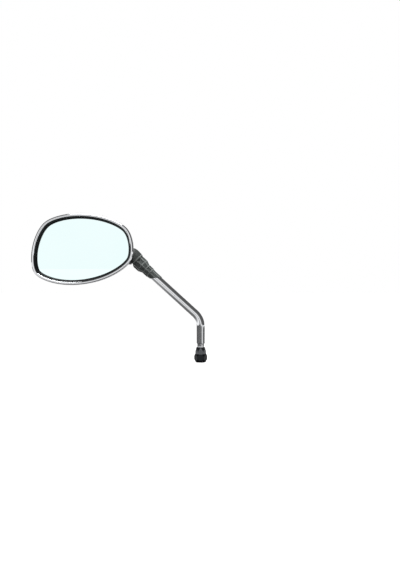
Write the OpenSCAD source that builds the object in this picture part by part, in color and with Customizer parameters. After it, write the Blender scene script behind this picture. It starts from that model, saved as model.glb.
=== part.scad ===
// Left-hand handlebar mirror: bent stem, ball joint under a rubber boot, plated head with an oval glass.
// Origin: centre of the adapter's lower face, with +Z up. The glass faces -Y.
// The stem and its bend lie in the plane Y = 0.

/* [Stem] */
// Height of the bend's corner above the adapter's lower face
bend_h = 64.2; // [60:0.2:80]
// Rise of the upper stem above the horizontal, in degrees
arm_rise = 42.3; // [38:0.1:46]
// Distance from the bend's corner to the centre of the ball
arm_reach = 137.3; // [125:0.1:160]
// Outer diameter of the stem tube
tube_d = 12; // [11.5:0.1:12.5]
// Wall of the stem tube
tube_wall = 1.5; // [1.2:0.1:1.8]
// Radius of the bend at the tube's centreline
bend_r = 26; // [20:1:32]
// Chamfer round the tube's lower end
tube_chamfer = 0.8; // [0.4:0.1:1]

/* [Fastening] */
// Diameter of the hole in the adapter and the nut, at the thread's tapping size
thread_bore_d = 8.8; // [8.4:0.1:9.2]
// Width across the flats of the adapter
adapter_af = 17; // [16:0.5:19]
// Height of the adapter
adapter_h = 12; // [10:0.5:14]
// Depth of the adapter's lower chamfer, inwards
adapter_chamfer = 2.4; // [1.8:0.1:2.8]
// Height of the adapter's lower chamfer
adapter_taper = 5; // [4:0.5:5.5]
// Depth of the adapter's upper chamfer, inwards
shoulder_chamfer = 1.4; // [1:0.1:1.6]
// Height of the adapter's upper chamfer
shoulder_taper = 3; // [2:0.5:4]
// Depth that the stem's stud reaches into the adapter
stud_grip = 4; // [3:0.5:5]
// Height of the relief groove inside the adapter
relief_h = 1; // [0.8:0.1:1.5]
// Depth of the relief groove
relief_depth = 0.7; // [0.5:0.1:1]
// Width across the flats of the lock nut
nut_af = 14; // [13:0.5:15]
// Height of the lock nut
nut_h = 10; // [8:0.5:11]
// Depth of the lock nut's upper chamfer, inwards
nut_chamfer = 1.8; // [1.4:0.1:2]
// Height of the lock nut's upper chamfer
nut_taper = 6.5; // [5:0.5:7]
// Small chamfer under the lock nut
nut_edge = 0.5; // [0.3:0.1:0.8]
// Diameter of the plain neck above the lock nut
neck_d = 9.8; // [9.6:0.1:10.4]
// Length of the plain neck
neck_h = 5; // [4:0.5:7]
// Length of the shanks pressed into both ends of the tube
shank_l = 16; // [12:1:20]

/* [Ball joint] */
// Diameter of the ball
ball_d = 15; // [14:0.25:15.5]
// Diameter of the ball's neck
ball_neck_d = 7; // [6:0.25:7.5]
// Distance from the ball's centre to the end of the tube
ball_offset = 22; // [21:0.5:24]
// Thickness of the shoulder that the tube's end rests on
shoulder_t = 2.5; // [2:0.5:3]
// Thickness of the two plastic seats round the ball
seat_t = 0.85; // [0.7:0.05:0.95]
// Distance of each seat's edge from the ball's widest line
seat_split = 1.1; // [0.8:0.1:1.4]
// Setback of the front seat's edge from the socket's mouth, in degrees
seat_inset = 3; // [2:0.5:4]
// Half angle of the hole in the rear seat, in degrees
seat_hole = 25; // [22:1:28]
// Wall of the socket behind the collar
socket_wall = 2.1; // [1.8:0.1:2.2]
// Half angle of the socket's mouth, in degrees
mouth_angle = 44; // [43:0.5:46]
// Diameter of the collar beside the rim
collar_d = 24.6; // [24.4:0.1:25]
// Distance from the ball's centre back to the collar's front edge
collar_back = 1.2; // [1.2:0.1:2]
// Length of the collar
collar_l = 9; // [7:0.5:10]
// Length of the socket behind the ball's centre
socket_l = 34; // [32:0.5:36]
// Height of the spring cup behind the rear seat
cup_h = 6.5; // [6:0.5:7]
// Wire diameter of the joint's spring
spring_wire = 2; // [1.8:0.1:2.2]
// Turns of the joint's spring
spring_turns = 3.5; // [3:0.5:4]
// Length of the joint's spring
spring_l = 11; // [10:0.5:12]
// Thickness of the plate behind the spring
plate_t = 1.2; // [1:0.1:1.5]
// Width across the flats of the key hole in the adjusting plug
plug_af = 8; // [6:1:9]

/* [Boot] */
// Outer radius of the boot's dome
dome_r = 12.3; // [12.2:0.05:12.3]
// Thickness of the dome's skirt
skirt_t = 1.1; // [1:0.05:1.15]
// Distance from the ball's centre to the skirt's edge
skirt_x = 2.2; // [2:0.1:3]
// Corner radius of the wide eight-sided section
wide_r = 10.4; // [10:0.1:11]
// Start of the wide section along the stem
wide_start = 8.5; // [8:0.5:9.5]
// End of the wide section along the stem
wide_end = 21.5; // [20:0.5:23]
// Corner radius of the narrow eight-sided section
narrow_r = 7.8; // [7.6:0.1:8.4]
// Start of the narrow section along the stem
narrow_start = 27.5; // [26:0.5:29]
// End of the narrow section along the stem
narrow_end = 37; // [36:0.5:39]
// Thickness of the sleeve on the tube
sleeve_t = 0.7; // [0.6:0.05:1]
// Where the sleeve's slanted end starts, on the stem's lower side
sleeve_short = 42; // [41:0.5:44]
// Where the sleeve's slanted end finishes, on the stem's upper side
sleeve_long = 54; // [50:0.5:58]
// Depth of the recessed panels
panel_depth = 0.6; // [0.4:0.05:0.8]
// Margin round each recessed panel
panel_margin = 1.5; // [1.2:0.1:2]
// Extra margin of the wide section's panels beside the dome
dome_margin = 2.5; // [2:0.5:3]

/* [Head outline] */
// Mean half width of the head's outline
head_r = 64.8; // [62:0.1:70]
// Lengthening of the outline
stretch = 11.3; // [9:0.1:13]
// Lean of the lengthening, in degrees
stretch_lean = 8; // [0:1:12]
// Egg shape of the outline
egg = 2.4; // [1.5:0.1:3]
// Lean of the egg shape, in degrees
egg_lean = -9; // [-14:1:-4]
// Squareness of the outline
square = 2.2; // [1.4:0.1:2.6]
// Lean of the squareness, in degrees
square_lean = 44.5; // [40:0.5:48]
// Last small waviness of the outline
wave = 0.6; // [0.3:0.05:0.9]
// Lean of the waviness, in degrees
wave_lean = -24; // [-30:1:-18]
// Distance of the head's centre from the ball's centre, sideways
head_dx = -70.7; // [-74:0.1:-70]
// Height of the head's centre above the ball's centre
head_dz = 8.4; // [6:0.1:10]
// Distance from the ball's centre forward to the rim's front
rim_front = 25; // [25:0.5:27]

/* [Shell] */
// Depth of the head from the rim's front to the back
shell_depth = 44; // [43:0.5:48]
// Wall of the shell
shell_wall = 2.2; // [2:0.1:2.6]
// Width of the rolled rim from the outline to the opening's edge
rim_w = 4.1; // [3.8:0.1:4.8]
// Depth of the rolled rim's outer edge
rim_outer = 2.8; // [2.4:0.1:3.2]
// Depth of the rolled rim's inner edge
rim_inner = 0.9; // [0.7:0.1:1.2]
// Depth of the widest line behind the rim's front
rim_wide_y = 6.5; // [6:0.25:7.5]
// Depth of the rim's lip
rim_lip = 4; // [3.5:0.25:4.5]
// Fullness of the shell's back, higher is boxier
back_full = 5; // [4:0.25:6]
// Roundness of the shell's flank
flank_round = 1.15; // [1:0.05:1.4]
// Clearance round the collar and the socket where they leave the shell
collar_gap = 0.3; // [0.2:0.05:0.5]
// Clearance in the shell's edge for the boot's swing, beside the collar's front
swing_gap = 2.6; // [2.4:0.1:3]

/* [Glass and gasket] */
// Radius of the convex glass
glass_curve = 1200; // [1000:50:1600]
// Thickness of the glass
glass_t = 2.6; // [2:0.1:3]
// Depth of the glass behind the rim's front, at its edge
glass_depth = 8; // [7:0.25:8.5]
// Width of the gasket's lip seen round the glass
lip_w = 3.3; // [2.8:0.1:3.6]
// Thickness of the lip at the glass
lip_t = 0.6; // [0.5:0.1:0.8]
// Thickness of the lining inside the rim's opening
lining_t = 0.8; // [0.6:0.1:0.9]
// Setback of the lining behind the rim's inner edge
lining_back = 0.4; // [0.2:0.1:0.6]
// Rounding of the lip's edge
lip_round = 0.6; // [0.4:0.1:0.8]
// Depth of the groove for the glass's edge behind the rim's opening
groove_w = 1; // [0.9:0.1:1.2]
// Taper of the gasket's outer side, which follows the shell's flank
gasket_taper = 2.1; // [1.9:0.1:2.3]
// Gap between the glass's edge and its groove
glass_gap = 0.3; // [0.2:0.05:0.4]
// Thickness of the gasket behind the glass
gasket_back = 1.3; // [1:0.1:1.4]
// Thickness of the foam pad behind the glass
pad_t = 0.8; // [0.6:0.1:0.8]
// Size of the foam pad as a share of the glass seen
pad_scale = 0.9; // [0.8:0.02:0.94]

/* [Socket screws] */
// Distance of the near screw from the ball's centre, sideways
screw_near = 20; // [19:0.5:22]
// Distance of the two far screws from the ball's centre, sideways
screw_far = 31; // [29:0.5:32]
// Height of the screws above and below the ball's centre
screw_rise = 14.5; // [14.5:0.5:16]
// Thickness of the socket's lugs
lug_t = 3; // [2.5:0.5:4]
// Height of the shell's screw bosses from the deepest part of its back
boss_h = 12.8; // [12:0.2:14]
// Diameter of the screws
screw_d = 2.9; // [2.9:0.1:3]
// Width of the lug round each screw's washer
lug_margin = 1.6; // [1.4:0.1:2]
// Length of the screws under the head
screw_l = 9; // [8:0.5:10]
// Diameter of the shell's screw bosses
boss_d = 7; // [6.5:0.25:7.5]

/* [Fits] */
// Radial clearance of the parts that turn or slide on each other
running_gap = 0.05; // [0.02:0.01:0.08]
// Radial clearance of the holes that the screws pass through
hole_gap = 0.2; // [0.15:0.05:0.3]
// Gap between parts that only lie against each other
rest_gap = 0.05; // [0.02:0.01:0.1]

/* [Hidden] */
$fn = 64;
eps = 0.02;
bend_overlap = tube_wall / 3;
screw_places = [[-screw_near, screw_rise], [-screw_far, screw_rise], [-screw_far, -screw_rise]];

tube_r = tube_d / 2;
bore_r = tube_r - tube_wall;
thread_r = thread_bore_d / 2;
stem_start = adapter_h + nut_h + neck_h;
bend_turn = 90 - arm_rise;
bend_tangent = bend_r * tan(bend_turn / 2);
ball_r = ball_d / 2;
seat_in = ball_r + running_gap;
seat_out = seat_in + seat_t;
cavity_r = seat_out + running_gap;
socket_r = cavity_r + socket_wall;
nose_r = dome_r - skirt_t - hole_gap;
collar_r = collar_d / 2;
lug_y = shell_depth - shell_wall - boss_h - lug_t - rim_front;
cup_back = cup_h + ball_r / 2;
plug_front = cup_back + spring_l + plate_t;
washer_t = 0.5;
screw_head_h = 2;
screw_head_d = 2 * screw_d - 0.3;
washer_d = 2 * screw_d + 0.4;
outline_n = 60;
glass_reach = head_r + stretch - rim_w;

// Frames: the bend's corner, the stem from the ball, the socket's axis and the rim's front plane
module at_ball() translate([-arm_reach * cos(arm_rise), 0, bend_h + arm_reach * sin(arm_rise)]) children();
module along_stem() at_ball() rotate([0, 90 + arm_rise, 0]) children();
module along_socket() at_ball() rotate([0, 90, 0]) children();
module on_rim() at_ball() translate([head_dx, -rim_front, head_dz]) rotate([90, 0, 0]) children();

// Head outline: the distance of its tangent from the centre for each direction, and how that changes
function tangent_at(a) = head_r + stretch * cos(2 * (a - stretch_lean)) + egg * cos(3 * (a - egg_lean))
    + square * cos(4 * (a - square_lean)) + wave * cos(5 * (a - wave_lean));
function tangent_slope(a) = -2 * stretch * sin(2 * (a - stretch_lean)) - 3 * egg * sin(3 * (a - egg_lean))
    - 4 * square * sin(4 * (a - square_lean)) - 5 * wave * sin(5 * (a - wave_lean));
// Point of the outline in direction a, inset by d and then scaled by k about the centre
function outline_point(a, d, k) = k * [(tangent_at(a) - d) * cos(a) - tangent_slope(a) * sin(a),
    (tangent_at(a) - d) * sin(a) + tangent_slope(a) * cos(a)];
// How far the convex glass stands in front of its edge depth at point p
function glass_rise(p) = sqrt(pow(glass_curve, 2) - p * p) - sqrt(pow(glass_curve, 2) - pow(glass_reach, 2));
// Ring of points from a station [inset, scale, depth]; a fourth value of 1 makes it follow the glass's curve
function ring(s) = [for (i = [0 : outline_n - 1]) let (p = outline_point(i * 360 / outline_n, s[0], s[1]))
    [p[0], p[1], (len(s) > 3 ? glass_rise(p) : 0) - s[2]]];

// Faces between ring j and ring m, where the first point has number first
function band(j, m, first) = [for (i = [0 : outline_n - 1]) let (n = (i + 1) % outline_n,
    a = first + j * outline_n + i, b = first + j * outline_n + n,
    c = first + m * outline_n + n, d = first + m * outline_n + i) each [[a, b, c], [a, c, d]]];

// Solid between two poles, through a list of stations
module skin(start_depth, stations, end_depth) {
    count = len(stations);
    last = 1 + count * outline_n;
    points = concat([[0, 0, -start_depth]], [for (s = stations) each ring(s)], [[0, 0, -end_depth]]);
    start_cap = [for (i = [0 : outline_n - 1]) [0, 1 + i, 1 + (i + 1) % outline_n]];
    end_cap = [for (i = [0 : outline_n - 1])
        [last, last - outline_n + (i + 1) % outline_n, last - outline_n + i]];
    polyhedron(points, concat(start_cap, [for (j = [0 : count - 2]) each band(j + 1, j, 1)], end_cap));
}

// Closed ring-shaped solid whose section goes round a list of stations
module hoop(stations) {
    count = len(stations);
    points = [for (s = stations) each ring(s)];
    polyhedron(points, [for (j = [0 : count - 1]) each band(j, (j + 1) % count, 0)]);
}

// Depth of the shell's flank and back at scale k, for a solid that is inset by w
function back_depth(k, w) = rim_wide_y
    + (shell_depth - rim_wide_y - w) * pow(1 - pow(k, back_full), 1 / flank_round);
back_scales = [0.25, 0.45, 0.62, 0.75, 0.85, 0.92, 0.97];
nose_arc = [for (a = [0 : 30 : 180]) let (deep = a < 90 ? rim_outer : rim_inner)
    [rim_w / 2 * (1 - cos(a)), deep * (1 - sin(a))]];

module outer_shape() {
    back = [for (k = back_scales) [0, k, back_depth(k, 0)]];
    flank = [[0, 1, rim_wide_y], [0, 1, rim_wide_y * 0.7]];
    front = [for (p = nose_arc) [p[0], 1, p[1]]];
    skin(shell_depth, concat(back, flank, front), rim_inner);
}

module inner_shape() {
    back = [for (k = back_scales) [shell_wall, k, back_depth(k, shell_wall)]];
    flank = [[shell_wall, 1, rim_wide_y], [shell_wall, 1, rim_lip]];
    skin(shell_depth - shell_wall, concat(back, flank), rim_lip);
}

module rim_opening() translate([0, 0, -rim_lip - eps]) linear_extrude(rim_lip - rim_inner / 2)
    polygon([for (i = [0 : outline_n - 1]) outline_point(i * 360 / outline_n, rim_w, 1)]);

module hexagon(af, h) cylinder(h = h, r = af / 2 / cos(30), $fn = 6);

// Hexagonal block with turned chamfers, each given as [depth, height]: one below and one above
module hex_block(af, h, below, above) intersection() {
    hexagon(af, h);
    rotate_extrude() let (r = af / 2 / cos(30))
        polygon([[0, 0], [r - below[0], 0], [r, below[1]], [r, h - above[1]], [r - above[0], h], [0, h]]);
}

// Adapter: threaded from both ends, with a relief groove where the stem's stud stops
module base_adapter() color("#26282a") difference() {
    hex_block(adapter_af, adapter_h, [adapter_chamfer, adapter_taper],
        [shoulder_chamfer, shoulder_taper]);
    translate([0, 0, -1]) cylinder(h = adapter_h + 2, r = thread_r);
    translate([0, 0, adapter_h - stud_grip - relief_h / 2])
        cylinder(h = relief_h, r = thread_r + relief_depth);
}

module lock_nut() color("#6d7175") translate([0, 0, adapter_h]) difference() {
    hex_block(nut_af, nut_h, [nut_edge, nut_edge], [nut_chamfer, nut_taper]);
    translate([0, 0, -1]) cylinder(h = nut_h + 2, r = thread_r);
}

module lower_stud() color("#a9adb1") translate([0, 0, adapter_h - stud_grip]) {
    cylinder(h = stud_grip + nut_h, r = thread_r - running_gap);
    translate([0, 0, stud_grip + nut_h]) cylinder(h = neck_h, r = neck_d / 2);
    translate([0, 0, stud_grip + nut_h + neck_h - eps]) cylinder(h = shank_l + eps, r = bore_r - rest_gap);
}

// Straight length of tube with its first end chamfered, and its wall thinner by skin on both faces
module straight_tube(l, skin) rotate_extrude() polygon([[bore_r + skin, 0], [tube_r - skin - tube_chamfer, 0],
    [tube_r - skin, tube_chamfer], [tube_r - skin, l], [bore_r + skin, l]]);

module tube_bend() difference() {
    rotate_extrude(angle = bend_turn) translate([bend_r, 0]) circle(tube_r);
    rotate_extrude(angle = bend_turn) translate([bend_r, 0]) circle(bore_r);
}

module arm_tube() color("#b9bdc2") {
    translate([0, 0, stem_start]) straight_tube(bend_h - bend_tangent - stem_start, 0);
    translate([-bend_r, 0, bend_h - bend_tangent]) rotate([90, 0, 0]) tube_bend();
    // The upper length runs a little way into the bend, a hair inside its wall
    along_stem() translate([0, 0, ball_offset])
        straight_tube(arm_reach - bend_tangent - ball_offset + bend_overlap, eps);
}

module ball_stud() color("#9a9ea2") along_stem() {
    sphere(ball_r);
    cylinder(h = ball_offset - shoulder_t + eps, r = ball_neck_d / 2);
    translate([0, 0, ball_offset - shoulder_t]) cylinder(h = shoulder_t, r = tube_r - rest_gap);
    translate([0, 0, ball_offset - eps]) cylinder(h = shank_l + eps, r = bore_r - rest_gap);
}

// Outline of the boot's dome: a ball behind its centre, easing into the wide section in front of it
function dome_radius(s) = wide_r + (dome_r - wide_r) * pow(1 - pow(s / dome_r, 2), 0.6);

// Recessed panels on the eight flats of a section that runs from one distance to another
module panels(corner_r, start, end) {
    long_side = end - start - 2 * panel_margin;
    short_side = 2 * corner_r * sin(22.5) - 1.6 * panel_margin;
    for (i = [0 : 7]) rotate([0, 0, 22.5 + 45 * i])
        translate([corner_r * cos(22.5) - panel_depth, 0, (start + end) / 2]) rotate([0, 90, 0])
            linear_extrude(corner_r) square([long_side, short_side], center = true);
}

module boot_outside() {
    behind = [for (a = [-90 : 7.5 : 0]) dome_r * [cos(a), sin(a)]];
    before = [for (s = [0.1 : 0.1 : 0.9]) [dome_radius(s * dome_r), s * dome_r]];
    end = [[wide_r * 0.9, dome_r * 0.95], [0, dome_r * 0.95]];
    rotate_extrude() polygon(concat(behind, before, end));
    translate([0, 0, wide_start]) cylinder(h = wide_end - wide_start, r = wide_r, $fn = 8);
    translate([0, 0, wide_end]) cylinder(h = narrow_start - wide_end, r1 = wide_r, r2 = narrow_r, $fn = 8);
    translate([0, 0, narrow_start]) cylinder(h = narrow_end - narrow_start, r = narrow_r, $fn = 8);
    translate([0, 0, narrow_end])
        cylinder(h = sleeve_short - narrow_end, r1 = narrow_r * cos(22.5), r2 = tube_r + sleeve_t);
    translate([0, 0, sleeve_short - 1]) cylinder(h = sleeve_long - sleeve_short + 1, r = tube_r + sleeve_t);
}

module joint_boot() color("#2e3231") {
    sleeve_r = tube_r + sleeve_t;
    hollow_r = wide_r * cos(22.5) - panel_depth - skirt_t;
    difference() {
        along_stem() boot_outside();
        along_stem() sphere(dome_r - skirt_t);
        along_stem() cylinder(h = ball_offset - shoulder_t, r = hollow_r);
        along_stem() translate([0, 0, ball_offset - shoulder_t - eps])
            cylinder(h = sleeve_long, r = tube_r + rest_gap);
        along_stem() panels(wide_r, wide_start + dome_margin, wide_end);
        along_stem() panels(narrow_r, narrow_start, narrow_end);
        // Slanted end: the sleeve is longest along the stem's upper side
        along_stem() rotate([90, 0, 0]) translate([0, 0, -sleeve_r - 1]) linear_extrude(2 * sleeve_r + 2)
            polygon([[sleeve_r + 1, sleeve_short - 1], [-sleeve_r - 1, sleeve_long + 1],
                [sleeve_r + 1, sleeve_long + 1]]);
        // Skirt: the dome stops at an upright plane, clear of the collar's swing
        along_socket() translate([0, 0, skirt_x - collar_d]) cylinder(h = collar_d, r = collar_d);
    }
}

// Thin spherical shell round the ball, from which each seat keeps one zone
module seat_shell() difference() {
    sphere(seat_out);
    sphere(seat_in);
}

module front_seat() color("#d9d6cc") along_stem() difference() {
    seat_shell();
    cylinder(h = ball_d, r1 = 0, r2 = ball_d * tan(mouth_angle + seat_inset));
    translate([0, 0, -ball_d]) cylinder(h = ball_d + seat_split, r = ball_d);
}

module rear_seat() color("#cfccc2") along_stem() difference() {
    seat_shell();
    translate([0, 0, -seat_split]) cylinder(h = ball_d, r = ball_d);
    rotate([180, 0, 0]) cylinder(h = ball_d, r1 = 0, r2 = ball_d * tan(seat_hole));
}

module lugs() translate([0, lug_y, 0]) rotate([-90, 0, 0]) linear_extrude(lug_t) for (p = screw_places)
    difference() {
        hull() {
            translate([p[0], -p[1]]) circle(screw_d + lug_margin);
            translate([p[0], -sign(p[1]) * cavity_r / 2])
                square([2 * (screw_d + lug_margin), eps], center = true);
        }
        translate([p[0], -p[1]]) circle(screw_d / 2 + hole_gap);
    }

module socket_housing() color("#232526") difference() {
    union() {
        along_socket() translate([0, 0, -collar_back - collar_l]) cylinder(h = collar_l, r = collar_r);
        along_socket() translate([0, 0, -socket_l]) cylinder(h = socket_l, r = socket_r);
        along_socket() sphere(nose_r);
        at_ball() lugs();
    }
    along_socket() sphere(cavity_r);
    along_socket() translate([0, 0, -socket_l - 1]) cylinder(h = socket_l + 1, r = cavity_r);
    along_stem() cylinder(h = ball_d, r1 = 0, r2 = ball_d * tan(mouth_angle));
}

module spring_cup() color("#b4aa8a") along_socket() difference() {
    translate([0, 0, -cup_back]) cylinder(h = cup_h, r = cavity_r - running_gap);
    sphere(cavity_r);
}

// Coil swept by rings of points round a rising helix
module joint_spring() color("#8f9396") along_socket() translate([0, 0, -cup_back - spring_l]) {
    sides = 10;
    steps = 18;
    wire_r = spring_wire / 2 - rest_gap;
    coil_r = cavity_r - spring_wire;
    count = spring_turns * steps;
    rise = spring_l - spring_wire;
    points = [for (j = [0 : count], i = [0 : sides - 1]) let (a = 360 * j / steps, b = 360 * i / sides)
        [(coil_r + wire_r * cos(b)) * cos(a), (coil_r + wire_r * cos(b)) * sin(a),
            spring_wire / 2 + rise * j / count + wire_r * sin(b)]];
    side_faces = [for (j = [0 : count - 1], i = [0 : sides - 1]) let (n = (i + 1) % sides)
        each [[j * sides + i, j * sides + n, (j + 1) * sides + n],
            [j * sides + i, (j + 1) * sides + n, (j + 1) * sides + i]]];
    polyhedron(points, concat(side_faces, [[for (i = [sides - 1 : -1 : 0]) i]],
        [[for (i = [0 : sides - 1]) count * sides + i]]));
}

module spring_plate() color("#9a9ea2") along_socket() translate([0, 0, -plug_front]) difference() {
    cylinder(h = plate_t - rest_gap, r = cavity_r - running_gap);
    translate([0, 0, -1]) cylinder(h = plate_t + 2, r = cavity_r / 3);
}

module adjusting_plug() color("#7f8386") along_socket() difference() {
    translate([0, 0, -socket_l + 1])
        cylinder(h = socket_l - plug_front - 1 - rest_gap, r = cavity_r - running_gap);
    translate([0, 0, -socket_l]) hexagon(plug_af, (socket_l - plug_front) * 0.6);
}

// Frame of screw i: its axis runs back along +Y from the lugs' front face
module at_screw(i) at_ball() translate([screw_places[i][0], lug_y, screw_places[i][1]])
    rotate([-90, 0, 0]) children();

module socket_screw(i) color("#a5a9ac") at_screw(i) difference() {
    union() {
        translate([0, 0, -washer_t - screw_head_h]) cylinder(h = screw_head_h - rest_gap, d = screw_head_d);
        translate([0, 0, -washer_t - screw_head_h / 2]) cylinder(h = screw_l + screw_head_h / 2, d = screw_d);
    }
    for (turn = [0, 90]) rotate([0, 0, turn]) translate([0, 0, -washer_t - screw_head_h])
        cube([screw_head_d * 0.6, screw_d / 4, screw_head_h], center = true);
}

module screw_washer(i) color("#b9bdc0") at_screw(i) translate([0, 0, -washer_t]) difference() {
    cylinder(h = washer_t - rest_gap, d = washer_d);
    translate([0, 0, -1]) cylinder(h = washer_t + 2, r = screw_d / 2 + hole_gap);
}

// Shell: the hollow is cut round the screw bosses, which stand on the inside of the back
module housing_shell() color("#c8cbd0") difference() {
    on_rim() outer_shape();
    difference() {
        on_rim() inner_shape();
        for (i = [0 : 2]) at_screw(i) translate([0, 0, lug_t + rest_gap])
            cylinder(h = shell_depth, d = boss_d);
    }
    for (i = [0 : 2]) at_screw(i) cylinder(h = screw_l + 0.5, r = screw_d / 2 + running_gap);
    on_rim() rim_opening();
    along_socket() translate([0, 0, -collar_back - collar_l - 1])
        cylinder(h = rim_front, r = collar_r + collar_gap);
    along_socket() translate([0, 0, -2 * collar_back]) cylinder(h = rim_front, r = collar_r + swing_gap);
    along_socket() translate([0, 0, -socket_l]) cylinder(h = socket_l, r = socket_r + collar_gap);
}

// Gasket: flange behind the rim's lip, channel round the glass's edge, the lip seen round the glass, and the
// lining inside the rim's opening
module rim_gasket() color("#141517") on_rim() {
    flange = shell_wall + 0.3;
    groove = rim_w + groove_w;
    lip = rim_w + lip_w;
    lining = rim_w + 2 * rest_gap;
    lining_front = rim_inner + lining_back;
    glass_back = glass_depth + glass_t + rest_gap;
    hoop([[flange, 1, rim_lip + rest_gap], [flange + gasket_taper, 1, glass_back + gasket_back, 1],
        [lip, 1, glass_back + gasket_back, 1], [lip, 1, glass_back, 1], [groove, 1, glass_back, 1],
        [groove, 1, glass_depth - rest_gap, 1], [lip, 1, glass_depth - rest_gap, 1],
        [lip, 1, glass_depth - lip_t, 1], [lip - lip_round, 1, glass_depth - lip_t - lip_round, 1],
        [groove + lip_round, 1, rim_lip + lip_round], [lining + lining_t, 1, lining_front + lining_t],
        [lining, 1, lining_front], [lining, 1, rim_lip + rest_gap]]);
}

// Disc curved like the glass and lying behind its front by drop, cut to an inset and scaled outline
module curved_disc(inset, k, drop, t) on_rim() intersection() {
    translate([0, 0, -glass_depth - drop - t - glass_t]) linear_extrude(t + 3 * glass_t)
        polygon([for (i = [0 : outline_n - 1]) outline_point(i * 360 / outline_n, inset, k)]);
    front = [for (i = [0 : 13]) let (r = glass_reach * i / 12) [r, glass_rise([r, 0])]];
    translate([0, 0, -glass_depth - drop]) rotate_extrude($fn = 180)
        polygon(concat([for (p = front) [p[0], p[1] - t]], [for (i = [13 : -1 : 0]) front[i]]));
}

module mirror_glass() color("#e9fbfb")
    curved_disc(rim_w + groove_w + glass_gap, 1, rest_gap, glass_t - 2 * rest_gap);

module backing_pad() color("#3a3c3e") curved_disc(rim_w + lip_w, pad_scale, glass_t + rest_gap, pad_t);

base_adapter();
lower_stud();
lock_nut();
arm_tube();
ball_stud();
joint_boot();
front_seat();
rear_seat();
socket_housing();
spring_cup();
joint_spring();
spring_plate();
adjusting_plug();
socket_screw(0);  // socket_screw_1
socket_screw(1);  // socket_screw_2
socket_screw(2);  // socket_screw_3
screw_washer(0);  // screw_washer_1
screw_washer(1);  // screw_washer_2
screw_washer(2);  // screw_washer_3
housing_shell();
rim_gasket();
mirror_glass();
backing_pad();
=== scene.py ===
import math
import bmesh, bpy
import numpy as np
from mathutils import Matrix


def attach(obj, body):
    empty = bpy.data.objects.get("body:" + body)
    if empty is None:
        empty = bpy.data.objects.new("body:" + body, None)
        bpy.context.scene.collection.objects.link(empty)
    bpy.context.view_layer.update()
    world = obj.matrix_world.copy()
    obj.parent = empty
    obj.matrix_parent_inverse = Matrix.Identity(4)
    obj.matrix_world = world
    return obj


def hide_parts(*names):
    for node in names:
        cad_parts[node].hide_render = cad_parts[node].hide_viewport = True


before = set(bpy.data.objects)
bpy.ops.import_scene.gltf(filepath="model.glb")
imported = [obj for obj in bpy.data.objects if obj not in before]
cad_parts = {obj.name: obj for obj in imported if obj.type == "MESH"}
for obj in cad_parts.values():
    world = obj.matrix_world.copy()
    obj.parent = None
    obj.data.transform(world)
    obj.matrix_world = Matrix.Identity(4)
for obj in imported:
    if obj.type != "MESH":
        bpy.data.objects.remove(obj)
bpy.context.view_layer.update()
mm = 0.001

# where the stem, the ball and the head lie, in mm and radians
layout = {"bendHeight": 64.2, "rise": math.radians(42.3), "reach": 137.3, "rimFront": 25.0,
          "headAcross": -70.7, "headUp": 8.4}
ballCentre = np.array([-layout["reach"] * math.cos(layout["rise"]), 0.0,
                       layout["bendHeight"] + layout["reach"] * math.sin(layout["rise"])])
headCentre = ballCentre + [layout["headAcross"], -layout["rimFront"], layout["headUp"]]


# camera: square to the glass, about half way up the part
view = {"place": (-0.001, -0.8, 0.114), "lens": 34.14, "sensor": 36}
cameraData = bpy.data.cameras.new("camera")
cameraData.lens = view["lens"]
cameraData.sensor_width = view["sensor"]
camera = bpy.data.objects.new("camera", cameraData)
camera.location = view["place"]
camera.rotation_euler = (math.radians(90), 0, 0)  # level, looking along +Y
bpy.context.scene.collection.objects.link(camera)
bpy.context.scene.camera = camera
bpy.context.scene.view_settings.view_transform = "Standard"
print("camera set")


# meshes from grids of points, in mm

xAxis, yAxis, zAxis = (1, 0, 0), (0, 1, 0), (0, 0, 1)
nearAxis = 0.05  # a ring this small closes a turned piece at its axis


def gridQuads(rows, columns, loopRows=False):
    # each quad joins a point with its neighbours in the next column and the next row; columns always close
    r = np.arange(rows if loopRows else rows - 1)[:, None]
    c = np.arange(columns)[None, :]
    nextRow, nextColumn = (r + 1) % rows, (c + 1) % columns
    corners = [r * columns + c, r * columns + nextColumn,
               nextRow * columns + nextColumn, nextRow * columns + c]
    return np.stack(corners, axis=-1).reshape(-1, 4)


def facesOutward(points, quads, fans):
    # the tetrahedra from the origin to every face add up to the volume,
    # which is positive when the faces look out
    a, b, c, d = (points[quads[:, i]] for i in range(4))
    volume = np.einsum("ij,ij->", a, np.cross(b, c)) + np.einsum("ij,ij->", a, np.cross(c, d))
    if len(fans):
        a, b, c = (points[fans[:, i]] for i in range(3))
        volume += np.einsum("ij,ij->", a, np.cross(b, c))
    return volume > 0


def meshFrom(name, grid, loopRows=False, sharp=35):
    # a grid of rings: looped rings make a hoop, and open ones are closed by a fan to a pole at each end
    rows, columns = grid.shape[:2]
    points = grid.reshape(-1, 3)
    quads = gridQuads(rows, columns, loopRows)
    fans = np.zeros((0, 3), int)
    if not loopRows:
        ring = np.arange(columns)
        after = (ring + 1) % columns
        first, last = rows * columns, rows * columns + 1
        points = np.vstack([points, grid[0].mean(axis=0), grid[-1].mean(axis=0)])
        start = np.stack([np.full(columns, first), after, ring], axis=1)
        lastRow = (rows - 1) * columns
        end = np.stack([np.full(columns, last), ring + lastRow, after + lastRow], axis=1)
        fans = np.vstack([start, end])
    if not facesOutward(points, quads, fans):
        quads, fans = quads[:, ::-1], fans[:, ::-1]
    mesh = bpy.data.meshes.new(name)
    mesh.from_pydata((points * mm).tolist(), [], quads.tolist() + fans.tolist())
    mesh.polygons.foreach_set("use_smooth", np.ones(len(mesh.polygons), bool))
    mesh.set_sharp_from_angle(angle=math.radians(sharp))
    return mesh


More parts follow.
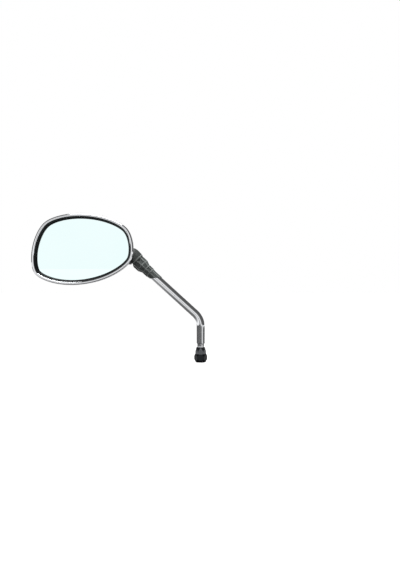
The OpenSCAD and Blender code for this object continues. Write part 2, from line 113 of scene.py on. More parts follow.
def softenedProfile(corners, radius, closed=True, steps=3, mostOfEdge=0.45):
    # each corner becomes a quadratic curve that starts and ends one radius away along its two edges,
    # or nearer where an edge is short
    corners = np.array(corners, float)
    before, after = np.roll(corners, 1, axis=0), np.roll(corners, -1, axis=0)
    toBefore, toAfter = before - corners, after - corners
    lengthBefore = np.linalg.norm(toBefore[:, :2], axis=1, keepdims=True)
    lengthAfter = np.linalg.norm(toAfter[:, :2], axis=1, keepdims=True)
    start = corners + toBefore * np.minimum(radius / lengthBefore, mostOfEdge)
    end = corners + toAfter * np.minimum(radius / lengthAfter, mostOfEdge)
    t = np.linspace(0, 1, steps + 1)[None, :, None]
    curve = (1 - t) ** 2 * start[:, None] + 2 * t * (1 - t) * corners[:, None] + t ** 2 * end[:, None]
    if not closed:
        curve[0], curve[-1] = corners[0], corners[-1]
    return curve.reshape(-1, corners.shape[1])


def turned(profile, centre, axis, side, columns):
    # each (distance, radius) of the profile runs once round the axis
    axis, side = np.array(axis, float), np.array(side, float)
    other = np.cross(axis, side)
    angle = np.linspace(0, 2 * math.pi, columns, endpoint=False)
    spoke = np.cos(angle)[:, None] * side + np.sin(angle)[:, None] * other
    profile = np.array(profile, float)
    return np.array(centre) + profile[:, 0, None, None] * axis + profile[:, 1, None, None] * spoke[None]


def addPiece(name, mesh, body, slotName, finish, *nodes):
    piece = bpy.data.objects.new(name, mesh)
    bpy.context.scene.collection.objects.link(piece)
    piece.data.materials.clear()
    piece.data.materials.append(finish)
    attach(piece, body)
    if nodes:
        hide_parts(*nodes)
    return piece


def flatSides(piece):
    # the normals follow the larger faces, so that flats stay true beside rounded edges
    piece.modifiers.new("flat sides", "WEIGHTED_NORMAL").keep_sharp = True


# finishes

def newFinish(name, color, metallic, roughness):
    finish = bpy.data.materials.new(name)
    finish.use_nodes = True
    shader = finish.node_tree.nodes["Principled BSDF"]
    shader.inputs["Base Color"].default_value = (*color, 1)
    shader.inputs["Metallic"].default_value = metallic
    shader.inputs["Roughness"].default_value = roughness
    return finish, shader


def addNode(finish, kind, **settings):
    node = finish.node_tree.nodes.new(kind)
    for key, value in settings.items():
        if hasattr(node, key):
            setattr(node, key, value)
        else:
            node.inputs[key].default_value = value
    return node


def join(finish, source, target):
    finish.node_tree.links.new(source, target)


def combined(finish, operation, first, second=None):
    # arithmetic on sockets; the second value may also be a number
    node = addNode(finish, "ShaderNodeMath", operation=operation)
    join(finish, first, node.inputs[0])
    if isinstance(second, (int, float)):
        node.inputs[1].default_value = second
    elif second is not None:
        join(finish, second, node.inputs[1])
    return node.outputs[0]


def grain(finish, scale, detail=4.0, stretch=(1, 1, 1)):
    # noise on the piece's own coordinates, in metres, stretched where a finish has a direction
    place = addNode(finish, "ShaderNodeTexCoord")
    turn = addNode(finish, "ShaderNodeMapping")
    turn.inputs["Scale"].default_value = stretch
    noise = addNode(finish, "ShaderNodeTexNoise", Scale=scale, Detail=detail)
    join(finish, place.outputs["Object"], turn.inputs["Vector"])
    join(finish, turn.outputs["Vector"], noise.inputs["Vector"])
    return noise.outputs["Fac"]


def spread(finish, source, low, high, start=0.3, end=0.7):
    # the source between start and end becomes a value between low and high, and is held beyond them
    ramp = addNode(finish, "ShaderNodeMapRange")
    for key, value in {"From Min": start, "From Max": end, "To Min": low, "To Max": high}.items():
        ramp.inputs[key].default_value = value
    join(finish, source, ramp.inputs["Value"])
    return ramp.outputs["Result"]


def blendColors(finish, factor, first, second):
    # the first is a colour or a socket
    mix = addNode(finish, "ShaderNodeMix", data_type="RGBA")
    if isinstance(first, tuple):
        mix.inputs[6].default_value = (*first, 1)
    else:
        join(finish, first, mix.inputs[6])
    mix.inputs[7].default_value = (*second, 1)
    join(finish, factor, mix.inputs[0])
    return mix.outputs[2]


def bumped(finish, shader, source, height, strength):
    bump = addNode(finish, "ShaderNodeBump")
    bump.inputs["Strength"].default_value = strength
    bump.inputs["Distance"].default_value = height
    join(finish, source, bump.inputs["Height"])
    join(finish, bump.outputs["Normal"], shader.inputs["Normal"])


def edgeWearAndHighlight(finish, start=0.52, full=0.58):
    # outer edges made lighter: rubbed wear on metal, a painted highlight on moulded pieces
    shape = addNode(finish, "ShaderNodeNewGeometry")
    return spread(finish, shape.outputs["Pointiness"], 0, 1, start, full)


# each noise is a scale and a detail; a range is of shares of the finish's roughness; heights are in metres
plateLook = {"haze": (55, 5), "hazeRange": (0.7, 1.6), "cloud": (22, 3), "cloudShade": 0.93,
             "ripple": (420, 2), "rippleHeight": 0.00001, "rippleStrength": 0.1}
metalLook = {"lines": (900, 6), "roughRange": (0.75, 1.3), "rubbed": 1.4, "lineHeight": 0.00003,
             "lineStrength": 0.25}
softLook = {"cloud": (60, 5), "cloudMost": 0.35, "grainDetail": 3, "roughRange": (0.85, 1.2),
            "grainStrength": 0.4}


def platedFinish(name, tone, roughness, handled=0.0):
    # bright plate: clean colour, faint haze where it is wiped, and very small ripples
    finish, shader = newFinish(name, tone, 1.0, roughness)
    clear, hazy = (roughness * share for share in plateLook["hazeRange"])
    join(finish, spread(finish, grain(finish, *plateLook["haze"]), clear, hazy), shader.inputs["Roughness"])
    darker = tuple(v * (plateLook["cloudShade"] - handled) for v in tone)
    cloud = spread(finish, grain(finish, *plateLook["cloud"]), 0, 1)
    join(finish, blendColors(finish, cloud, tone, darker), shader.inputs["Base Color"])
    bumped(finish, shader, grain(finish, *plateLook["ripple"]), plateLook["rippleHeight"],
           plateLook["rippleStrength"])
    return finish


def metalFinish(name, tone, roughness, worn=None, stretch=(1, 1, 1)):
    # turned or rolled metal: fine lines, uneven gloss, and edges rubbed brighter
    finish, shader = newFinish(name, tone, 1.0, roughness)
    lines = grain(finish, *metalLook["lines"], stretch)
    smooth, rough = (roughness * share for share in metalLook["roughRange"])
    join(finish, spread(finish, lines, smooth, rough), shader.inputs["Roughness"])
    bright = worn or tuple(min(1, v * metalLook["rubbed"]) for v in tone)
    join(finish, blendColors(finish, edgeWearAndHighlight(finish), tone, bright), shader.inputs["Base Color"])
    bumped(finish, shader, lines, metalLook["lineHeight"], metalLook["lineStrength"])
    return finish


def softFinish(name, tone, light, roughness, pitch, height, gloss=0.5):
    # moulded rubber, plastic or foam: cloudy colour, matt grain, and a painted highlight along the edges
    finish, shader = newFinish(name, tone, 0.0, roughness)
    shader.inputs["Specular IOR Level"].default_value = gloss
    cloud = spread(finish, grain(finish, *softLook["cloud"]), 0, softLook["cloudMost"])
    clouded = blendColors(finish, cloud, tone, light)
    # painted highlight: the outer edges are blended to the lighter colour
    join(finish, blendColors(finish, edgeWearAndHighlight(finish), clouded, light), shader.inputs["Base Color"])
    fine = grain(finish, pitch, softLook["grainDetail"])
    smooth, rough = (roughness * share for share in softLook["roughRange"])
    join(finish, spread(finish, fine, smooth, min(1, rough)), shader.inputs["Roughness"])
    bumped(finish, shader, fine, height, softLook["grainStrength"])
    return finish


plate = platedFinish("bright_plate", (0.80, 0.81, 0.83), 0.05)
tubePlate = platedFinish("tube_plate", (0.80, 0.81, 0.83), 0.06)
nutPlate = platedFinish("nut_plate", (0.13, 0.135, 0.145), 0.2, 0.06)
blackZinc = metalFinish("black_zinc", (0.025, 0.027, 0.03), 0.34, (0.12, 0.12, 0.125))
turnedSteel = metalFinish("turned_steel", (0.55, 0.56, 0.58), 0.22)
springSteel = metalFinish("spring_steel", (0.32, 0.33, 0.35), 0.3)
zincPlate = metalFinish("zinc_plate", (0.62, 0.63, 0.66), 0.3, None, (1, 3, 1))
brass = metalFinish("turned_brass", (0.70, 0.52, 0.24), 0.26)
bootRubber = softFinish("boot_rubber", (0.05, 0.056, 0.054), (0.09, 0.1, 0.097), 0.42, 2600, 0.00003, 0.4)
gasketRubber = softFinish("gasket_rubber", (0.002, 0.002, 0.0025), (0.006, 0.006, 0.007), 0.5, 2200,
                          0.00001, 0.2)
filledPlastic = softFinish("filled_plastic", (0.015, 0.016, 0.017), (0.06, 0.06, 0.065), 0.36, 1800, 0.00003)
nylon = softFinish("seat_nylon", (0.72, 0.70, 0.62), (0.82, 0.80, 0.74), 0.4, 1500, 0.00002)
foam = softFinish("pad_foam", (0.05, 0.05, 0.055), (0.10, 0.10, 0.105), 0.9, 1400, 0.00015, 0.2)

# distances of the boot's steps from the ball, its corners, and the width and tone of the lighter bands along
# them, partly rubbed wear and partly a painted highlight
boot = {"steps": (9.6, 20.6, 28.4, 36.2), "corners": 8, "ridgeBandWidth": 1.1, "ridgeBandCore": 0.35,
        "cornerBand": (0.55, 0.95), "domeFade": 1.0, "wearAndHighlightTone": (0.26, 0.28, 0.27)}


def pulse(finish, value, middle, width):
    # one at the middle, falling to nothing at the width on either side
    away = combined(finish, "ABSOLUTE", combined(finish, "SUBTRACT", value, middle))
    return spread(finish, away, 1, 0, width * boot["ridgeBandCore"], width)


def ridgeWearAndHighlight(finish):
    # the rubber's corners run along the stem and its steps run round it; both get lighter bands, partly
    # rubbed wear and partly a painted highlight
    place = addNode(finish, "ShaderNodeTexCoord")
    turn = addNode(finish, "ShaderNodeMapping", vector_type="TEXTURE")
    turn.inputs["Location"].default_value = tuple(ballCentre * mm)
    turn.inputs["Rotation"].default_value = (0, math.pi / 2 + layout["rise"], 0)
    join(finish, place.outputs["Object"], turn.inputs["Vector"])
    parts = addNode(finish, "ShaderNodeSeparateXYZ")
    join(finish, turn.outputs["Vector"], parts.inputs[0])
    around = combined(finish, "ARCTAN2", parts.outputs["Y"], parts.outputs["X"])
    wave = combined(finish, "COSINE", combined(finish, "MULTIPLY", around, boot["corners"]))
    domeEnd = boot["steps"][0]
    worn = combined(finish, "MULTIPLY", spread(finish, wave, 0, 1, *boot["cornerBand"]),
                    spread(finish, parts.outputs["Z"], 0, 1, (domeEnd - boot["domeFade"]) * mm, domeEnd * mm))
    for step in boot["steps"]:
        ring = pulse(finish, parts.outputs["Z"], step * mm, boot["ridgeBandWidth"] * mm)
        worn = combined(finish, "MAXIMUM", worn, ring)
    color = finish.node_tree.nodes["Principled BSDF"].inputs["Base Color"]
    # painted highlight and wear: the corner and step bands take the lighter tone
    join(finish, blendColors(finish, worn, color.links[0].from_socket, boot["wearAndHighlightTone"]), color)


ridgeWearAndHighlight(bootRubber)
print("finishes made")


# head: the outline is drawn by its tangents, so every inset of it stays parallel

head = {"radius": 64.8, "waves": ((2, 11.3, 8.0), (3, 2.4, -9.0), (4, 2.2, 44.5), (5, 0.6, -24.0)),
        "depth": 44.0, "wall": 2.2, "rimWidth": 4.1, "rimOuter": 2.8, "rimInner": 0.9, "widest": 6.5,
        "lip": 4.0, "lipRound": 0.25, "wallRound": 0.3, "full": 5.0, "flank": 1.15, "flankEnds": (0.6, 0.4),
        "around": 360, "backRows": 44, "flankRows": 5, "rollRows": 33, "poleTurn": 0.03, "poleEase": 0.8,
        "sharp": 50}
glass = {"curve": 1200.0, "thick": 2.6, "depth": 8.0, "lip": 3.3, "groove": 1.0, "gap": 0.3, "rest": 0.05,
         "back": 1.3, "taper": 2.1, "lipThick": 0.6, "lipRound": 0.6, "lining": 0.8, "liningBack": 0.4,
         "moulded": 0.3, "gasketSharp": 60, "bevel": 0.3, "rows": 26, "poleTurn": 0.02, "sharp": 40,
         "tint": (0.87, 1.0, 1.0), "deepTint": (0.85, 0.99, 0.99), "roughness": 0.012,
         "roughRange": (0.008, 0.03), "smears": (30, 6), "cloud": (9, 2), "coat": 0.25, "coatRoughness": 0.02}


def outlineAt(angle, inset, scale):
    # the tangent's distance is the mean radius plus four cosine waves; the point on it also moves sideways
    # by the distance's slope, and the whole is scaled about the centre
    distance = head["radius"] - inset
    slope = 0.0
    for order, size, lean in head["waves"]:
        turn = order * (angle - math.radians(lean))
        distance = distance + size * np.cos(turn)
        slope = slope - order * size * np.sin(turn)
    return scale * (distance * np.cos(angle) - slope * np.sin(angle)), \
        scale * (distance * np.sin(angle) + slope * np.cos(angle))


def glassRise(across, up):
    # height of a sphere's cap above its edge
    edge = head["radius"] + head["waves"][0][1] - head["rimWidth"]
    return np.sqrt(glass["curve"] ** 2 - across ** 2 - up ** 2) - math.sqrt(glass["curve"] ** 2 - edge ** 2)


def headRings(stations):
    # each station is inset, scale, depth, and how far it follows the curve of the glass
    stations = np.array([tuple(s) + (0,) * (4 - len(s)) for s in stations], float)
    angle = np.linspace(0, 2 * math.pi, head["around"], endpoint=False)[None, :]
    across, up = outlineAt(angle, stations[:, 0, None], stations[:, 1, None])
    depth = stations[:, 2, None] - stations[:, 3, None] * glassRise(across, up)
    return headCentre + np.stack([across, depth, up], axis=-1)


def backDepth(scale, wall):
    # a superellipse: the depth falls from the pole's to the widest part's as the scale grows to one
    reach = head["depth"] - head["widest"] - wall
    return head["widest"] + reach * (1 - scale ** head["full"]) ** (1 / head["flank"])


def wallBack(x, z):
    # where the back's inner face lies behind a point:
    # its distance from the head's centre over the outline's there
    across, up = x - headCentre[0], z - headCentre[2]
    directions = np.linspace(-math.pi, math.pi, 2 * head["around"] + 1)
    edgeAcross, edgeUp = outlineAt(directions, head["wall"], 1.0)
    edge = np.interp(np.arctan2(up, across), np.arctan2(edgeUp, edgeAcross), np.hypot(edgeAcross, edgeUp),
                     period=2 * math.pi)
    return headCentre[1] + backDepth(np.hypot(across, up) / edge, head["wall"])


def shellStations():
    # back pole, round the flank, over the rolled rim, into the opening, and back along the inner wall
    turn = np.linspace(head["poleTurn"], math.pi / 2, head["backRows"])
    scales = np.minimum(np.sin(turn) ** head["poleEase"], 1.0)
    outside = [(0, k, backDepth(k, 0)) for k in scales]
    behind, before = head["flankEnds"]
    flankDepths = np.linspace(head["widest"] - behind, head["rimOuter"] + before, head["flankRows"])
    flank = [(0, 1, d) for d in flankDepths]
    roll = [(head["rimWidth"] / 2 * (1 - math.cos(a)), 1,
             (head["rimOuter"] if a < math.pi / 2 else head["rimInner"]) * (1 - math.sin(a)))
            for a in np.linspace(0, math.pi, head["rollRows"])]
    inside = [(head["rimWidth"], 1, head["lip"] - head["lipRound"]),
              (head["rimWidth"] - head["lipRound"], 1, head["lip"]),
              (head["wall"] + head["wallRound"], 1, head["lip"]),
              (head["wall"], 1, head["lip"] + head["wallRound"])]
    hollow = [(head["wall"], k, backDepth(k, head["wall"])) for k in scales[::-1]]
    return outside + flank + roll + inside + hollow


socket = {"radius": 10.85, "collar": 12.6, "length": 34.0, "collarBack": 11.2, "lugBack": 1.0,
          "lugThick": 3.0, "screws": ((-20.0, 14.5), (-31.0, 14.5), (-31.0, -14.5)), "boss": 3.5, "bore": 1.5,
          "screwLength": 9.5, "swing": 14.9, "swingBack": 2.4, "cutFront": 20.0, "cutAround": 160,
          "postEnd": 16.0, "postSink": 0.7, "postAround": 40}
cutProfile = [(-socket["length"], socket["radius"]), (-socket["collarBack"], socket["radius"]),
              (-socket["collarBack"], socket["collar"]), (-socket["swingBack"], socket["collar"]),
              (-socket["swingBack"], socket["swing"]), (socket["cutFront"], socket["swing"])]
shellMesh = meshFrom("housing_shell_smooth", headRings(shellStations()), sharp=head["sharp"])
cutMesh = meshFrom("socket_cut", turned(cutProfile, ballCentre, xAxis, zAxis, socket["cutAround"]))
shellPiece = bpy.data.objects.new("shell_work", shellMesh)
cutPiece = bpy.data.objects.new("cut_work", cutMesh)
for helper in (shellPiece, cutPiece):
    bpy.context.scene.collection.objects.link(helper)
cut = shellPiece.modifiers.new("socket way", "BOOLEAN")
cut.operation, cut.object, cut.solver = "DIFFERENCE", cutPiece, "EXACT"
graph = bpy.context.evaluated_depsgraph_get()
opened = bpy.data.meshes.new_from_object(shellPiece.evaluated_get(graph))
for helper in (shellPiece, cutPiece):
    bpy.data.objects.remove(helper)

# bosses: each is a blind bore in a post whose end follows the back wall from within it
work = bmesh.new()
work.from_mesh(opened)
bossFront = socket["lugBack"] + socket["lugThick"] + glass["rest"]
boreEnd = socket["lugBack"] + socket["screwLength"]
post = [(boreEnd, nearAxis), (boreEnd, socket["bore"]), (bossFront, socket["bore"]),
        (bossFront, socket["boss"]), (socket["postEnd"], socket["boss"]), (socket["postEnd"], nearAxis)]
for across, up in socket["screws"]:
    postGrid = turned(post, ballCentre + [across, 0, up], yAxis, xAxis, socket["postAround"])
    postGrid[-2:, :, 1] = wallBack(postGrid[-2:, :, 0], postGrid[-2:, :, 2]) + socket["postSink"]
    postMesh = meshFrom("post", postGrid)
    work.from_mesh(postMesh)
    bpy.data.meshes.remove(postMesh)
work.to_mesh(opened)
work.free()
opened.set_sharp_from_angle(angle=math.radians(head["sharp"]))
shell = addPiece("plated_shell", opened, "head", "plated_shell", plate, "housing_shell")
flatSides(shell)
print("shell made")

glassBack = glass["depth"] + glass["thick"] + glass["rest"]
flangeInset = head["wall"] + glass["gap"]
grooveInset = head["rimWidth"] + glass["groove"]
lipInset = head["rimWidth"] + glass["lip"]
lipFront = glass["depth"] - glass["lipThick"]
liningInset = head["rimWidth"] + 2 * glass["rest"]
liningFront = head["rimInner"] + glass["liningBack"]
gasketCorners = [(flangeInset, 1, head["lip"] + glass["rest"], 0),
                 (flangeInset + glass["taper"], 1, glassBack + glass["back"], 1),
                 (lipInset, 1, glassBack + glass["back"], 1), (lipInset, 1, glassBack, 1),
                 (grooveInset, 1, glassBack, 1), (grooveInset, 1, glass["depth"] - glass["rest"], 1),
                 (lipInset, 1, glass["depth"] - glass["rest"], 1), (lipInset, 1, lipFront, 1),
                 (lipInset - glass["lipRound"], 1, lipFront - glass["lipRound"], 1),
                 (grooveInset + glass["lipRound"], 1, head["lip"] + glass["lipRound"], 0),
                 (liningInset + glass["lining"], 1, liningFront + glass["lining"], 0),
                 (liningInset, 1, liningFront, 0), (liningInset, 1, head["lip"] + glass["rest"], 0)]
order = [0, 2, 1, 3]  # inset and depth lead, because the softening measures its edges by the first two
rounded = softenedProfile(np.array(gasketCorners)[:, order], glass["moulded"])[:, order]
gasketMesh = meshFrom("glass_gasket", headRings(rounded), loopRows=True, sharp=glass["gasketSharp"])
addPiece("glass_gasket", gasketMesh, "head", "gasket_rubber", gasketRubber, "rim_gasket")

edgeInset = grooveInset + glass["gap"]
frontDepth, rearDepth = glass["depth"] + glass["rest"], glass["depth"] + glass["thick"] - glass["rest"]
faceInset = edgeInset + glass["bevel"]
glassScales = np.sin(np.linspace(glass["poleTurn"], math.pi / 2, glass["rows"]))
glassStations = [(faceInset, k, frontDepth, 1) for k in glassScales] \
    + [(edgeInset, 1, frontDepth + glass["bevel"], 1), (edgeInset, 1, rearDepth - glass["bevel"], 1)] \
    + [(faceInset, k, rearDepth, 1) for k in glassScales[::-1]]
mirrorFace, mirrorShader = newFinish("mirror_face", glass["tint"], 1.0, glass["roughness"])
mirrorShader.inputs["Coat Weight"].default_value = glass["coat"]
mirrorShader.inputs["Coat Roughness"].default_value = glass["coatRoughness"]
join(mirrorFace, spread(mirrorFace, grain(mirrorFace, *glass["smears"]), *glass["roughRange"]),
     mirrorShader.inputs["Roughness"])
cloud = spread(mirrorFace, grain(mirrorFace, *glass["cloud"]), 0, 1)
join(mirrorFace, blendColors(mirrorFace, cloud, glass["tint"], glass["deepTint"]),
     mirrorShader.inputs["Base Color"])
glassMesh = meshFrom("convex_glass", headRings(glassStations), sharp=glass["sharp"])
addPiece("convex_glass", glassMesh, "head", "mirror_face", mirrorFace, "mirror_glass")
print("glass and gasket made")


# stem: a plated tube bent once, on a neck, a lock nut and the adapter

stem = {"radius": 6.0, "bore": 4.5, "bend": 26.0, "chamfer": 0.8, "tipChamfer": 0.3, "start": 27.0,
        "stop": 22.0, "around": 96, "rows": (6, 40, 12), "rowGaps": (1, 4, 0.4), "sharp": 40}
neck = {"bottom": 8, "thread": 4.35, "threadEnd": 22, "radius": 4.9, "end": 27, "shank": 4.45, "top": 43,
        "edges": 0.35}


def stemRings():
    # the centreline rises, turns on an arc and runs straight to the ball;
    # the wall goes up outside and down inside
    turn = math.pi / 2 - layout["rise"]
    tangent = stem["bend"] * math.tan(turn / 2)
    straight = layout["bendHeight"] - tangent - stem["start"]
    arc = stem["bend"] * turn
    total = straight + arc + layout["reach"] - tangent - stem["stop"]
    beyondArc = total - straight - arc  # what is left of the tube after the bend
    uprightRows, arcRows, reachRows = stem["rows"]
    intoArc, afterArc, beforeEnd = stem["rowGaps"]
    spots = np.concatenate([[0, stem["chamfer"]], np.linspace(2 * stem["chamfer"], straight, uprightRows),
                            straight + np.linspace(intoArc, arc, arcRows),
                            straight + arc + np.linspace(afterArc, beyondArc - beforeEnd, reachRows),
                            [total]])
    wide = np.full(len(spots), stem["radius"])
    wide[0] -= stem["chamfer"]
    wide[-1] -= stem["tipChamfer"]
    spots = np.concatenate([spots, spots[::-1]])
    wide = np.concatenate([wide, np.full(len(wide), stem["bore"])])
    bent = np.clip((spots - straight) / stem["bend"], 0, turn)
    beyond = np.maximum(spots - straight - arc, 0)
    low = np.minimum(spots, straight)
    x = -stem["bend"] * (1 - np.cos(bent)) - beyond * math.sin(turn)
    z = stem["start"] + low + stem["bend"] * np.sin(bent) + beyond * math.cos(turn)
    centre = np.stack([x, 0 * x, z], axis=1)
    outward = np.stack([np.cos(bent), 0 * x, np.sin(bent)], axis=1)
    angle = np.linspace(0, 2 * math.pi, stem["around"], endpoint=False)
    spoke = np.cos(angle)[None, :, None] * outward[:, None] \
        + np.sin(angle)[None, :, None] * np.array(yAxis, float)
    return centre[:, None] + wide[:, None, None] * spoke


tubeMesh = meshFrom("bent_tube", stemRings(), loopRows=True, sharp=stem["sharp"])
addPiece("bent_tube", tubeMesh, "arm", "plated_tube", tubePlate, "arm_tube")

neckProfile = [(neck["bottom"], nearAxis), (neck["bottom"], neck["thread"]),
               (neck["threadEnd"], neck["thread"]), (neck["threadEnd"], neck["radius"]),
               (neck["end"], neck["radius"]), (neck["end"], neck["shank"]),
               (neck["top"], neck["shank"]), (neck["top"], nearAxis)]
neckGrid = turned(softenedProfile(neckProfile, neck["edges"], closed=False), (0, 0, 0), zAxis, xAxis,
                  stem["around"])
neckPiece = addPiece("neck_and_stud", meshFrom("neck_and_stud", neckGrid), "arm", "plated_tube", tubePlate,
                     "lower_stud")
flatSides(neckPiece)

# below and above: how far a cone cuts the corners at that end, and its length; relief: start, end and depth;
# mouth: how far a hole widens at each end, and over what length
hexes = {"adapter": {"bottom": 0.0, "height": 12.0, "across": 17.0, "below": (2.4, 5.0), "above": (1.4, 3.0),
                     "bore": 4.4, "relief": (7.5, 8.5, 0.7), "pitch": 1.25, "threadTo": 7.2},
         "nut": {"bottom": 12.03, "height": 9.95, "across": 14.0, "below": (0.5, 0.5), "above": (1.8, 6.5),
                 "bore": 4.4, "relief": None, "pitch": 0, "threadTo": 0}}
hexForm = {"soft": 0.09, "cornerCut": 0.12, "mouth": (0.3, 0.72), "threadDepth": 0.62, "around": 288,
           "endZone": 1, "endRows": 8, "sideFrom": 1.2, "sideRows": 36, "boreRows": 70, "sharp": 38}


def hexRings(size):
    # the radius is the soft minimum of the hexagon, a cone at each end and a cylinder at the corners;
    # the bore is a cylinder with a relief groove and a thread of triangular section
    angle = np.linspace(0, 2 * math.pi, hexForm["around"], endpoint=False)[None, :]
    corner = size["across"] / 2 / math.cos(math.pi / 6)
    flat = size["across"] / 2 / np.cos(np.mod(angle, math.pi / 3) - math.pi / 6)
    height = size["height"]
    zone, margin = hexForm["endZone"], hexForm["sideFrom"]
    rise = np.concatenate([np.linspace(0, zone, hexForm["endRows"]),
                           np.linspace(margin, height - margin, hexForm["sideRows"]),
                           np.linspace(height - zone, height, hexForm["endRows"])])
    up = rise[:, None]
    below = corner - size["below"][0] * (1 - up / size["below"][1])
    above = corner - size["above"][0] * (1 - (height - up) / size["above"][1])
    soft = hexForm["soft"]
    limits = np.stack(np.broadcast_arrays(flat, below, above, corner - hexForm["cornerCut"]), axis=0)
    wide = -soft * np.log(np.exp(-(limits - limits.min(axis=0)) / soft).sum(axis=0)) + limits.min(axis=0)
    inner = np.linspace(height, 0, hexForm["boreRows"])[:, None]
    hole = np.full((hexForm["boreRows"], angle.shape[1]), size["bore"])
    widened, run = hexForm["mouth"]
    for fromEnd in (inner, height - inner):
        hole = hole + widened * np.clip(1 - fromEnd / run, 0, 1)
    if size["relief"]:
        start, end, deep = size["relief"]
        hole = np.where((inner > start) & (inner < end), size["bore"] + deep, hole)
    if size["pitch"]:
        phase = np.mod(inner / size["pitch"] - angle / (2 * math.pi), 1)
        cutIn = hexForm["threadDepth"] * (1 - np.abs(2 * phase - 1))
        hole = np.where(inner < size["threadTo"], np.maximum(hole, size["bore"] + cutIn), hole)
    radius = np.vstack([wide, hole])
    level = size["bottom"] + np.vstack([np.broadcast_to(up, wide.shape), np.broadcast_to(inner, hole.shape)])
    angle = np.broadcast_to(angle, radius.shape)
    return np.stack([radius * np.cos(angle), radius * np.sin(angle), level], axis=-1)


adapterMesh = meshFrom("threaded_adapter", hexRings(hexes["adapter"]), loopRows=True, sharp=hexForm["sharp"])
addPiece("threaded_adapter", adapterMesh, "base", "dark_adapter", blackZinc, "base_adapter")
nutMesh = meshFrom("hexagon_nut", hexRings(hexes["nut"]), loopRows=True, sharp=hexForm["sharp"])
addPiece("hexagon_nut", nutMesh, "arm", "plated_nut", nutPlate, "lock_nut")
print("stem made")


# boot and socket: moulded pieces with rounded edges, each from a merged copy of its solid

# lengths are in metres and angles in degrees
moulding = {"weld": 0.000002, "flat": 0.6, "sharp": 30, "bevel": 28, "segments": 2, "bootEdge": 0.00022,
            "socketEdge": 0.0003}


def moulded(name, node, width, body, slotName, finish):
    # the solid's loose triangles are welded and its flats joined, and then its edges are rounded
    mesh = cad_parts[node].data.copy()
    work = bmesh.new()
    work.from_mesh(mesh)
    bmesh.ops.remove_doubles(work, verts=work.verts, dist=moulding["weld"])
    bmesh.ops.dissolve_limit(work, angle_limit=math.radians(moulding["flat"]), verts=work.verts,
                             edges=work.edges)
    work.to_mesh(mesh)
    work.free()
    mesh.polygons.foreach_set("use_smooth", np.ones(len(mesh.polygons), bool))
    mesh.set_sharp_from_angle(angle=math.radians(moulding["sharp"]))
    piece = addPiece(name, mesh, body, slotName, finish, node)
    rounding = piece.modifiers.new("rounded edges", "BEVEL")
    rounding.width, rounding.segments = width, moulding["segments"]
    rounding.limit_method, rounding.angle_limit = "ANGLE", math.radians(moulding["bevel"])
    rounding.harden_normals = True


moulded("stepped_boot", "joint_boot", moulding["bootEdge"], "arm", "black_rubber", bootRubber)
moulded("joint_socket", "socket_housing", moulding["socketEdge"], "head", "socket_black", filledPlastic)
print("boot and socket made")


# pieces inside the head keep their solids and get their finish

innerFinishes = {"ball_stud": turnedSteel, "front_seat": nylon, "rear_seat": nylon, "spring_cup": brass,
                 "joint_spring": springSteel, "spring_plate": zincPlate, "adjusting_plug": springSteel,
                 "backing_pad": foam}
for number in (1, 2, 3):
    innerFinishes[f"socket_screw_{number}"] = zincPlate
    innerFinishes[f"screw_washer_{number}"] = zincPlate
for nodeName, finish in innerFinishes.items():
    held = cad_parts[nodeName].data.materials
    held.clear()
    held.append(finish)
print("inner pieces finished")


# studio: pale floor, one wide lamp above, and a plain white surround

def setStops(ramp, stops):
    while len(ramp.color_ramp.elements) < len(stops):
        ramp.color_ramp.elements.new(0.5)
    for element, (spot, grey) in zip(ramp.color_ramp.elements, stops):
        element.position, element.color = spot, (grey, grey, grey, 1)


def blendShaders(owner, factor, first, second):
    mix = addNode(owner, "ShaderNodeMixShader")
    for source, target in zip((factor, first, second), mix.inputs):
        join(owner, source, target)
    return mix.outputs[0]


# each band is a position and a grey: along a ray's length for the floor, from front to back for the surround
studio = {"floor": -0.12, "floorSize": 30.0, "floorTone": (0.93, 0.93, 0.93),
          "floorShade": (0.05, 0.05, 0.05), "floorGlow": 0.45, "floorReach": 4,
          "lampPower": 14.0, "lampSize": 0.9, "lampPlace": (-0.1, -0.2, 1.2), "lampTilt": 11,
          "ambient": (0.06, 0.9), "ambientFrom": -0.2,
          "floorBands": ((0.075, 0.1), (0.11, 0.45), (0.15, 1.0), (0.26, 1.0), (0.32, 0.07), (0.64, 0.08),
                         (0.75, 1.0)),
          "cardEnds": ((0.50, -0.87), (0.92, -0.39)), "cardLevels": (-0.118, 0.05), "cardStrength": 0.8,
          "skyBands": ((0.0, 1.0), (0.045, 1.0), (0.06, 0.26), (0.12, 0.16), (0.25, 0.11), (0.56, 0.11),
                       (0.80, 0.10), (0.97, 0.35))}
floorMesh = bpy.data.meshes.new("floor")
half = studio["floorSize"] / 2
floorCorners = [(x * half, y * half, studio["floor"]) for x, y in ((-1, -1), (1, -1), (1, 1), (-1, 1))]
floorMesh.from_pydata(floorCorners, [], [(0, 1, 2, 3)])
floor = bpy.data.objects.new("floor", floorMesh)
bpy.context.scene.collection.objects.link(floor)
floorFinish, floorShader = newFinish("pale_floor", studio["floorTone"], 0.0, 0.9)
floorShader.inputs["Emission Color"].default_value = (1, 1, 1, 1)
paths = addNode(floorFinish, "ShaderNodeLightPath")
seen = combined(floorFinish, "MAXIMUM", paths.outputs["Is Camera Ray"], paths.outputs["Is Transmission Ray"])
# in reflections the floor shows painted bands by ray length: a painted shade under the piece, bright a little
# way off, dark beyond that and white far off
reach = spread(floorFinish, paths.outputs["Ray Length"], 0, 1, 0, studio["floorReach"])
bands = addNode(floorFinish, "ShaderNodeValToRGB")
setStops(bands, studio["floorBands"])
join(floorFinish, reach, bands.inputs["Fac"])
mirrored = combined(floorFinish, "MULTIPLY", paths.outputs["Is Glossy Ray"], bands.outputs["Color"])
plain = spread(floorFinish, seen, 0.0, studio["floorGlow"], 0, 1)
join(floorFinish, combined(floorFinish, "ADD", plain, mirrored), floorShader.inputs["Emission Strength"])
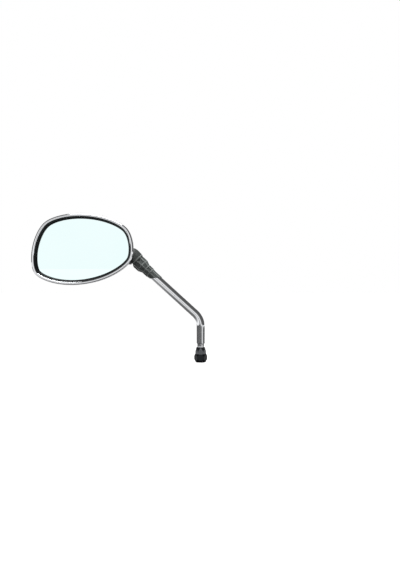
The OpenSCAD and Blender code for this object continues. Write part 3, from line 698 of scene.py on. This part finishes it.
# painted shade: to all but camera and transmission rays the floor is dark, so it throws back little light
join(floorFinish, blendColors(floorFinish, seen, studio["floorShade"], studio["floorTone"]),
     floorShader.inputs["Base Color"])
# and nothing of it shows from below
side = addNode(floorFinish, "ShaderNodeNewGeometry")
join(floorFinish, spread(floorFinish, side.outputs["Backfacing"], 1, 0, 0, 1), floorShader.inputs["Alpha"])
floorMesh.materials.append(floorFinish)

# a card beside the lens, seen in reflections alone, draws the bright line on the upright part of the stem
cardMesh = bpy.data.meshes.new("light_card")
cardCorners = [(*end, level) for end in studio["cardEnds"] for level in studio["cardLevels"]]
cardMesh.from_pydata(cardCorners, [], [(0, 1, 3, 2)])
card = bpy.data.objects.new("light_card", cardMesh)
bpy.context.scene.collection.objects.link(card)
cardFinish, cardShader = newFinish("card_white", (0, 0, 0), 0.0, 1.0)
cardPaths = addNode(cardFinish, "ShaderNodeLightPath")
cardShader.inputs["Emission Color"].default_value = (1, 1, 1, 1)
join(cardFinish, spread(cardFinish, cardPaths.outputs["Is Glossy Ray"], 0, studio["cardStrength"], 0, 1),
     cardShader.inputs["Emission Strength"])
cardMesh.materials.append(cardFinish)
card.visible_camera = card.visible_diffuse = card.visible_shadow = card.visible_transmission = False

lampData = bpy.data.lights.new("lamp above", "AREA")
lampData.shape, lampData.size, lampData.energy = "DISK", studio["lampSize"], studio["lampPower"]
lamp = bpy.data.objects.new("lamp above", lampData)
lamp.location = studio["lampPlace"]
lamp.rotation_euler = (math.radians(studio["lampTilt"]), 0, 0)
bpy.context.scene.collection.objects.link(lamp)

# the surround is white to the eye; in reflections it is white behind the lens and dim elsewhere,
# which gives plate its dark edges; on dull surfaces it grows brighter upward
surround = bpy.data.worlds.new("surround")
bpy.context.scene.world = surround
surround.use_nodes = True
direction = addNode(surround, "ShaderNodeTexCoord")
parts = addNode(surround, "ShaderNodeSeparateXYZ")
join(surround, direction.outputs["Generated"], parts.inputs[0])
ramp = addNode(surround, "ShaderNodeValToRGB")
setStops(ramp, studio["skyBands"])
join(surround, spread(surround, parts.outputs["Y"], 0, 1, -1, 1), ramp.inputs["Fac"])
glossy = addNode(surround, "ShaderNodeBackground")
join(surround, ramp.outputs["Color"], glossy.inputs["Color"])
white = addNode(surround, "ShaderNodeBackground", Color=(1, 1, 1, 1))
ambient = surround.node_tree.nodes["Background"]
ambient.inputs["Color"].default_value = (1, 1, 1, 1)
join(surround, spread(surround, parts.outputs["Z"], *studio["ambient"], studio["ambientFrom"], 1),
     ambient.inputs["Strength"])
skyPaths = addNode(surround, "ShaderNodeLightPath")
shown = blendShaders(surround, skyPaths.outputs["Is Glossy Ray"], ambient.outputs[0], glossy.outputs[0])
for ray in ("Is Camera Ray", "Is Transmission Ray"):
    shown = blendShaders(surround, skyPaths.outputs[ray], shown, white.outputs[0])
join(surround, shown, surround.node_tree.nodes["World Output"].inputs["Surface"])
print("studio lit")
